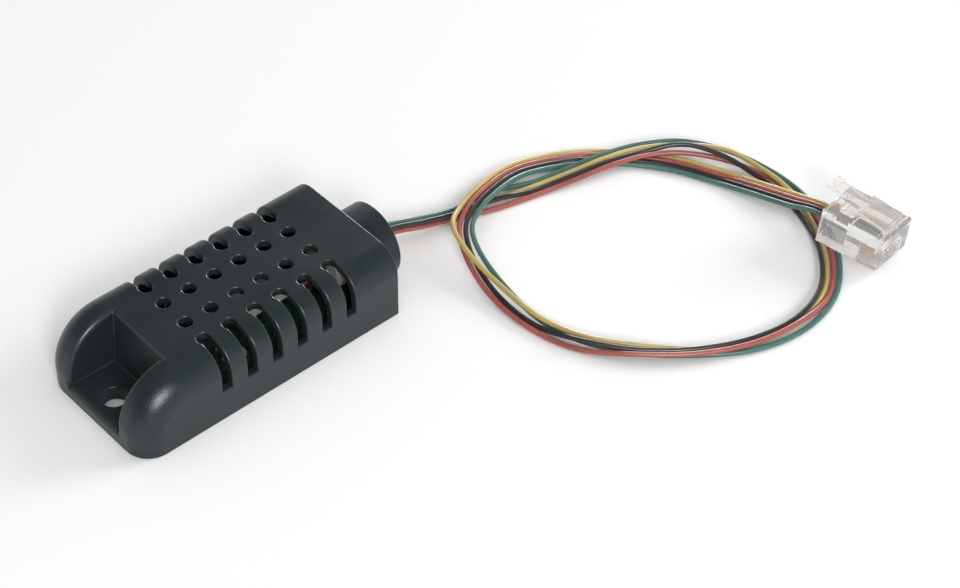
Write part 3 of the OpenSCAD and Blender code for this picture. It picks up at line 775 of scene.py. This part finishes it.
class SENSOR_OT_case(bpy.types.Operator):
    """Make the vented shell, its mounting end and its base cover"""
    bl_idname = "sensor.case"
    bl_label = "Case"

    def execute(self, context):
        looks = context.scene.sensor_case
        plastic = case_plastic(looks)
        for node, name in (("upper_shell", "case_shell"), ("mounting_end", "case_front")):
            bm = merged(node)
            corners = self.recess_corners(bm)
            # The inner corners get a painted highlight: they are painted paler than the other rims
            round_edges(bm, corners, looks.corner, CORNER_STEPS, clamp=False, wear_and_sheen=CORNER_SHEEN)
            round_edges(bm, self.recess_rim(bm), looks.rim, RIM_STEPS, clamp=False)
            seam = {e for e in bm.edges if all(abs(v.co.x - SEAM_X) < ON_SEAM for v in e.verts)}
            round_edges(bm, self.vents(bm), looks.vent, VENT_STEPS, clamp=False)
            free = [e for e in outer_edges(bm) if e not in seam]
            round_edges(bm, free, looks.edge, CASE_STEPS)
            finish_piece(piece_from(settle(bm, node), name), [plastic], SENSOR, node)
        dress("base_cover", "case_cover", looks.cover_edge, plastic)
        return {"FINISHED"}

    def vents(self, bm):
        """Edges of the slots and holes: the chains no wider than a vent, in the upper part of the case."""
        found = []
        for chain in chains(outer_edges(bm)):
            spots = [v.co for e in chain for v in e.verts]
            along = [spot.x for spot in spots]
            if max(along) - min(along) < VENT_WIDTH and min(spot.z for spot in spots) > VENT_LOW:
                found += chain
        return found

    def recess_corners(self, bm):
        """Inner corners of the recess: round its floor and up the wall behind it."""
        low, high = Vector(RECESS_LOW), Vector((RECESS_TOP, *RECESS_HIGH[1:]))
        middle, reach = (low + high) / 2, (high - low) / 2
        inner = [e for e in bm.edges if e.calc_face_angle_signed(0.0) < -EDGE_TURN]
        return [e for e in inner if e.calc_length() > CORNER_LENGTH and all(
            abs(c - m) < r + NEAR for v in e.verts for c, m, r in zip(v.co, middle, reach))]

    def recess_rim(self, bm):
        """Upper edges of the recess, along both lobes, where they are split level with its floor, and the
        top of the wall behind it."""
        found = []
        for edge in outer_edges(bm):
            foot, head = sorted(edge.verts, key=lambda v: v.co.z)
            beside = all(NEAR > abs(v.co.y) - RECESS_HIGH[1] > 0 for v in edge.verts)
            behind = all(abs(v.co.x - RECESS_TOP) < NEAR for v in edge.verts)
            if beside and foot.co.z < RECESS_LOW[2] < head.co.z:
                share = (RECESS_LOW[2] - foot.co.z) / (head.co.z - foot.co.z)
                bmesh.utils.edge_split(edge, foot, share)
            elif foot.co.z > RECESS_LOW[2] and (beside or behind):
                found.append(edge)
        return found


class SENSOR_OT_board(bpy.types.Operator):
    """Make the circuit board"""
    bl_idname = "sensor.board"
    bl_label = "Board"

    def execute(self, context):
        looks = context.scene.sensor_inner
        dress("circuit_board", "board", looks.edge, board_laminate(looks))
        return {"FINISHED"}


class SENSOR_OT_humidity(bpy.types.Operator):
    """Make the humidity element: frame, sensing plate and legs"""
    bl_idname = "sensor.humidity"
    bl_label = "Humidity element"

    def execute(self, context):
        looks = context.scene.sensor_inner
        ivory = moulded("ivory_plastic", looks.ivory, grain=0.2 * MM)
        dress("humidity_frame", "element_frame", 2 * looks.edge, ivory)
        dress("sensing_plate", "element_plate", looks.edge, sensing_film(looks))
        tin = shared(tinned_metal, looks)
        dress("humidity_legs", "element_legs", looks.edge, tin)
        return {"FINISHED"}


class SENSOR_OT_thermistor(bpy.types.Operator):
    """Make the thermistor: a dipped bead on two leads"""
    bl_idname = "sensor.thermistor"
    bl_label = "Thermistor"

    def execute(self, context):
        looks = context.scene.sensor_inner
        low, high = (Vector(corner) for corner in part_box("thermistor_bead"))
        middle, radius = (low + high) / 2, (high.z - low.z) / 2
        bm = bmesh.new()
        bmesh.ops.create_uvsphere(bm, u_segments=32, v_segments=20, radius=radius)
        for vert in bm.verts:
            drop = max(0.0, -vert.co.z / radius)
            vert.co.x *= 1 - BEAD_TAPER * drop
            vert.co.y *= 1 - BEAD_TAPER * drop
        bmesh.ops.translate(bm, verts=bm.verts, vec=middle)
        bm.faces.layers.float.new("rim")
        epoxy = moulded("bead_epoxy", looks.bead, grain=0.3 * MM, bump=0.1, rough=(0.14, 0.26))
        finish_piece(piece_from(bm, "temperature_bead"), [epoxy], SENSOR, "thermistor_bead")
        tin = shared(tinned_metal, looks)
        dress("thermistor_leads", "temperature_leads", looks.edge, tin)
        return {"FINISHED"}


class SENSOR_OT_controller(bpy.types.Operator):
    """Make the microcontroller and its pins"""
    bl_idname = "sensor.controller"
    bl_label = "Controller"

    def execute(self, context):
        looks = context.scene.sensor_inner
        low, high = (Vector(corner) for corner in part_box("microcontroller"))
        dot = Vector((low.x + DOT_INSET, low.y + DOT_INSET, high.z))
        dress("microcontroller", "chip_body", 2 * looks.edge, chip_resin(looks, dot))
        tin = shared(tinned_metal, looks)
        dress("microcontroller_pins", "chip_pins", looks.edge / 2, tin)
        return {"FINISHED"}


class SENSOR_OT_small_parts(bpy.types.Operator):
    """Make the chip capacitors and resistors with tinned ends"""
    bl_idname = "sensor.small_parts"
    bl_label = "Small parts"

    def execute(self, context):
        looks = context.scene.sensor_inner
        ceramic = moulded("capacitor_ceramic", looks.ceramic, grain=0.1 * MM)
        glaze = moulded("resistor_body", looks.glaze, grain=0.1 * MM, rough=(0.2, 0.34))
        self.row(looks, "chip_capacitors", "capacitors", "capacitor_ceramic", ceramic)
        self.row(looks, "chip_resistors", "resistors", "resistor_body", glaze)
        return {"FINISHED"}

    def row(self, looks, node, name, slot, body):
        """A row of chips: each is cut near its two ends, which are tinned."""
        bm = merged(node)
        chips = self.islands(bm)
        cuts = [x for low, high in chips for x in (low + CAP, high - CAP)]
        for x in cuts:
            bmesh.ops.bisect_plane(bm, geom=bm.verts[:] + bm.edges[:] + bm.faces[:], plane_co=(x, 0, 0),
                                   plane_no=(1, 0, 0))
        for face in bm.faces:
            x = face.calc_center_median().x
            tinned = any(low <= x < low + CAP or high - CAP < x <= high for low, high in chips)
            face.material_index = int(tinned)
        round_edges(bm, outer_edges(bm), looks.edge, EDGE_STEPS)
        settle(bm, node)
        tin = shared(tinned_metal, looks)
        finish_piece(piece_from(bm, name), [body, tin], SENSOR, node)

    def islands(self, bm):
        """Ends along X of each separate body of a bmesh."""
        spots = [[v.co.x for e in chain for v in e.verts] for chain in chains(bm.edges)]
        return [(min(along), max(along)) for along in spots]


class SENSOR_OT_solder(bpy.types.Operator):
    """Make the solder joints that hold the wires"""
    bl_idname = "sensor.solder"
    bl_label = "Solder"

    def execute(self, context):
        looks = context.scene.sensor_inner
        low, high = (Vector(corner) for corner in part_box("solder_joints"))
        radius, height = (high.x - low.x) / 2, high.z - low.z
        profile = [(r * radius, z * height) for r, z in SOLDER_PROFILE]
        bm = bmesh.new()
        for i in range(len(WIRE_PLANS)):
            centre = Vector(((low.x + high.x) / 2, (i - ROW_MIDDLE) * PAD_PITCH * MM, low.z))
            spun(bm, profile, centre)
        bm.faces.layers.float.new("rim")
        tin = shared(tinned_metal, looks)
        finish_piece(piece_from(closed(bm), "solder"), [tin], SENSOR, "solder_joints")
        return {"FINISHED"}


class SENSOR_OT_seal(bpy.types.Operator):
    """Make the resin seal that holds the wires in the boss"""
    bl_idname = "sensor.seal"
    bl_label = "Seal"

    def execute(self, context):
        looks = context.scene.sensor_inner
        resin = moulded("seal_resin", looks.resin, grain=0.5 * MM, bump=0.2, rough=(0.3, 0.5))
        dress("wire_seal", "boss_seal", looks.edge, resin)
        return {"FINISHED"}


class SENSOR_OT_stage(bpy.types.Operator):
    """Lay the pale floor and set the soft lights"""
    bl_idname = "sensor.stage"
    bl_label = "Stage"

    def execute(self, context):
        looks = context.scene.sensor_stage
        context.scene.view_settings.view_transform = "Standard"
        self.floor(looks)
        self.sky(context, looks)
        self.lamp("key_light", looks.key, looks.key_size, looks.key_at).visible_glossy = False
        self.lamp("side_light", looks.side, looks.side_size, looks.side_at).visible_glossy = False
        self.lamp("rear_light", looks.rear, looks.rear_size, looks.rear_at).visible_diffuse = False
        self.lamp("glint_light", looks.glint, looks.glint_size, looks.glint_at).visible_diffuse = False
        return {"FINISHED"}

    def floor(self, looks):
        """Pale floor that keeps the shadow and is open from below."""
        bm = bmesh.new()
        bmesh.ops.create_grid(bm, x_segments=1, y_segments=1, size=looks.floor_size / 2)
        bmesh.ops.translate(bm, verts=bm.verts, vec=(0, 0, -looks.floor_gap))
        floor = piece_from(bm, "floor")
        found, tree, shader = new_material("pale_floor")
        shader["Base Color"].default_value = rgba(looks.floor)
        shader["Roughness"].default_value = 1.0
        shader["Specular IOR Level"].default_value = 0.0
        plain = tree.nodes["Principled BSDF"].outputs[0]
        glow = add(tree, "Emission", {"Color": (1, 1, 1, 1), "Strength": looks.glow})
        lit = add(tree, "AddShader", {0: plain, 1: glow.outputs[0]})
        top = add(tree, "MixShader", {0: self.seen_rays(tree), 1: plain, 2: lit.outputs[0]})
        below = add(tree, "NewGeometry").outputs["Backfacing"]
        open_below = add(tree, "BsdfTransparent").outputs[0]
        both = add(tree, "MixShader", {0: below, 1: top.outputs[0], 2: open_below})
        tree.links.new(both.outputs[0], tree.nodes["Material Output"].inputs["Surface"])
        floor.data.materials.append(found)

    def sky(self, context, looks):
        """Soft light, strongest above, and a white backdrop that fades for gloss overhead and in front."""
        world = bpy.data.worlds.new("studio")
        world.use_nodes = True
        tree = world.node_tree
        light = tree.nodes["Background"]
        light.inputs["Color"].default_value = (1, 1, 1, 1)
        towards = add(tree, "TexCoord").outputs["Generated"]
        height = add(tree, "SeparateXYZ", {0: towards}).outputs["Z"]
        tree.links.new(ramp(tree, height, 0.0, 1.0, looks.horizon, looks.sky), light.inputs["Strength"])
        ahead = add(tree, "VectorMath", {0: towards, 1: FRONT}, operation="DOT_PRODUCT").outputs["Value"]
        upper = ramp(tree, height, *OVERHEAD_FADE, 1.0, looks.overhead)
        facing = ramp(tree, ahead, *FRONT_FADE, 1.0, looks.front)
        fade = add(tree, "Math", {0: upper, 1: facing}, operation="MULTIPLY").outputs[0]
        camera = add(tree, "LightPath").outputs["Is Camera Ray"]
        clear = add(tree, "LightPath").outputs["Is Transmission Ray"]
        through = add(tree, "Math", {0: clear, 1: looks.through}, operation="MULTIPLY").outputs[0]
        beyond = add(tree, "Math", {0: fade, 1: through}, operation="MAXIMUM").outputs[0]
        seen = add(tree, "Math", {0: beyond, 1: camera}, operation="MAXIMUM").outputs[0]
        white = add(tree, "Background", {"Color": (1, 1, 1, 1), "Strength": seen})
        both = add(tree, "MixShader", {0: self.seen_rays(tree), 1: light.outputs[0], 2: white.outputs[0]})
        tree.links.new(both.outputs[0], tree.nodes["World Output"].inputs["Surface"])
        context.scene.world = world

    def seen_rays(self, tree):
        """One for rays from the camera, from a gloss or through a clear body, and zero for the rest."""
        path = add(tree, "LightPath").outputs
        pair = add(tree, "Math", {0: path["Is Camera Ray"], 1: path["Is Glossy Ray"]}, operation="MAXIMUM")
        clear = path["Is Transmission Ray"]
        return add(tree, "Math", {0: pair.outputs[0], 1: clear}, operation="MAXIMUM").outputs[0]

    def lamp(self, name, power, size, place):
        """Square soft light that faces the object and isn't seen through clear plastic."""
        data = bpy.data.lights.new(name, "AREA")
        data.energy = power
        data.size = size
        lamp = bpy.data.objects.new(name, data)
        lamp.location = place
        lamp.rotation_euler = Vector(place).to_track_quat("Z", "Y").to_euler()
        lamp.visible_transmission = False
        bpy.context.scene.collection.objects.link(lamp)
        return lamp


STEPS = (
    SENSOR_OT_camera, SENSOR_OT_plug, SENSOR_OT_latch, SENSOR_OT_wires, SENSOR_OT_case, SENSOR_OT_board,
    SENSOR_OT_humidity, SENSOR_OT_thermistor, SENSOR_OT_controller, SENSOR_OT_small_parts, SENSOR_OT_solder,
    SENSOR_OT_seal, SENSOR_OT_stage,
)
GROUPS = {
    "sensor_case": CaseLooks, "sensor_inner": InnerLooks, "sensor_wires": WireLooks,
    "sensor_plug": PlugLooks, "sensor_stage": StageLooks,
}


class SENSOR_PT_panel(bpy.types.Panel):
    """Lists the steps that build the sensor"""
    bl_idname = "SENSOR_PT_panel"
    bl_label = "Climate sensor"
    bl_space_type = "VIEW_3D"
    bl_region_type = "UI"
    bl_category = "Sensor"

    def draw(self, context):
        for step in STEPS:
            self.layout.operator(step.bl_idname)


def register():
    for made in (*GROUPS.values(), *STEPS, SENSOR_PT_panel):
        bpy.utils.register_class(made)
    for name, group in GROUPS.items():
        setattr(bpy.types.Scene, name, PointerProperty(type=group))


def unregister():
    for name in GROUPS:
        delattr(bpy.types.Scene, name)
    for made in (SENSOR_PT_panel, *reversed(STEPS), *GROUPS.values()):
        bpy.utils.unregister_class(made)


def main():
    register()
    bpy.ops.sensor.camera()
    bpy.ops.sensor.plug()
    bpy.ops.sensor.latch()
    bpy.ops.sensor.wires()
    bpy.ops.sensor.case()
    bpy.ops.sensor.board()
    bpy.ops.sensor.humidity()
    bpy.ops.sensor.thermistor()
    bpy.ops.sensor.controller()
    bpy.ops.sensor.small_parts()
    bpy.ops.sensor.solder()
    bpy.ops.sensor.seal()
    bpy.ops.sensor.stage()


if __name__ == "__main__":
    main()
